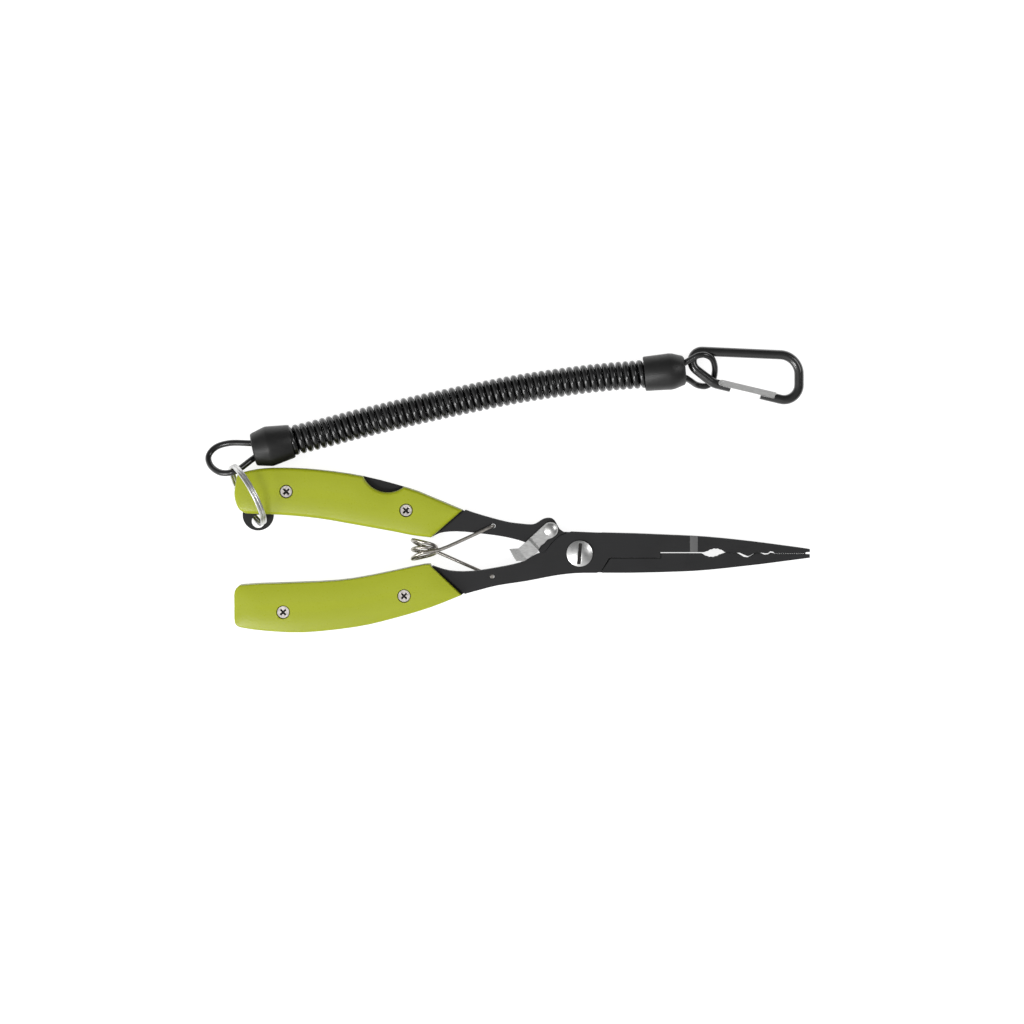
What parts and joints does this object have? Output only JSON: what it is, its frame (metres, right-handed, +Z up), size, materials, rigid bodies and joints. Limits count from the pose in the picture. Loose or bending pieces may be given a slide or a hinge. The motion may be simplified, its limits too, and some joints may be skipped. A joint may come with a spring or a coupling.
{
  "type": "fishing pliers",
  "caption": "Long-nosed fishing pliers with lap-jointed steel halves, grip scales, a latch, a handle spring, and a split ring with a curly lanyard ending in a small carabiner.",
  "frame": {"origin": "on the resting surface, under the middle of the pliers' own box without the lanyard", "axes": "+X towards the tip of the jaws, +Y from the lower handle towards the upper one, +Z up from the resting surface"},
  "size_m": [0.2096, 0.0989, 0.0233],
  "materials": {
    "black_steel": "black oxide, satin",
    "bright_steel": "polished",
    "latch_steel": "brushed sheet",
    "spring_wire": "drawn wire",
    "lime_scale": "semi-gloss moulded",
    "screw_steel": "plated",
    "black_cord": "glossy polyurethane",
    "sleeve_rubber": "matt",
    "crimp_metal": "plain",
    "black_alloy": "gloss black anodised",
    "gate_alloy": "satin"
  },
  "bodies": {
    "upper_body": {"upper_half": "black_steel", "pivot_screw": "bright_steel", "pivot_nut": "bright_steel", "latch_rivet": "bright_steel", "handle_spring": "spring_wire", "upper_front_scale": "lime_scale", "upper_back_scale": "lime_scale", "upper_scale_screws": "screw_steel", "upper_scale_nuts": "screw_steel", "split_ring": "bright_steel", "ring_loop": "black_cord", "ring_crimp": "crimp_metal", "ring_sleeve": "sleeve_rubber", "lanyard_coil": "black_cord", "hook_sleeve": "sleeve_rubber", "hook_crimp": "crimp_metal", "hook_loop": "black_cord", "carabiner_body": "black_alloy", "gate_pin": "bright_steel"},
    "lower_body": {"lower_half": "black_steel", "lower_front_scale": "lime_scale", "lower_back_scale": "lime_scale", "lower_scale_screws": "screw_steel", "lower_scale_nuts": "screw_steel"},
    "latch": {"lock_latch": "latch_steel"},
    "gate": {"carabiner_gate": "gate_alloy", "gate_spring": "spring_wire"}
  },
  "joints": [
    {"name": "jaw_pivot", "type": "hinge", "parent": "upper_body", "child": "lower_body", "pos_m": [0.021, -0.002, 0.0065], "axis": [0, 0, 1], "range_deg": [0, 28], "deforming": ["handle_spring"]},
    {"name": "latch_swing", "type": "hinge", "parent": "upper_body", "child": "latch", "pos_m": [0.0109, 0.0063, 0.0106], "axis": [0, 0, 1], "range_deg": [-50, 0]},
    {"name": "gate_hinge", "type": "hinge", "parent": "upper_body", "child": "gate", "pos_m": [0.0702, 0.05708, 0.00391], "axis": [0.0802, 0, 0.9968], "range_deg": [0, 30], "stiffness_Nm_per_rad": 0.005}
  ]
}
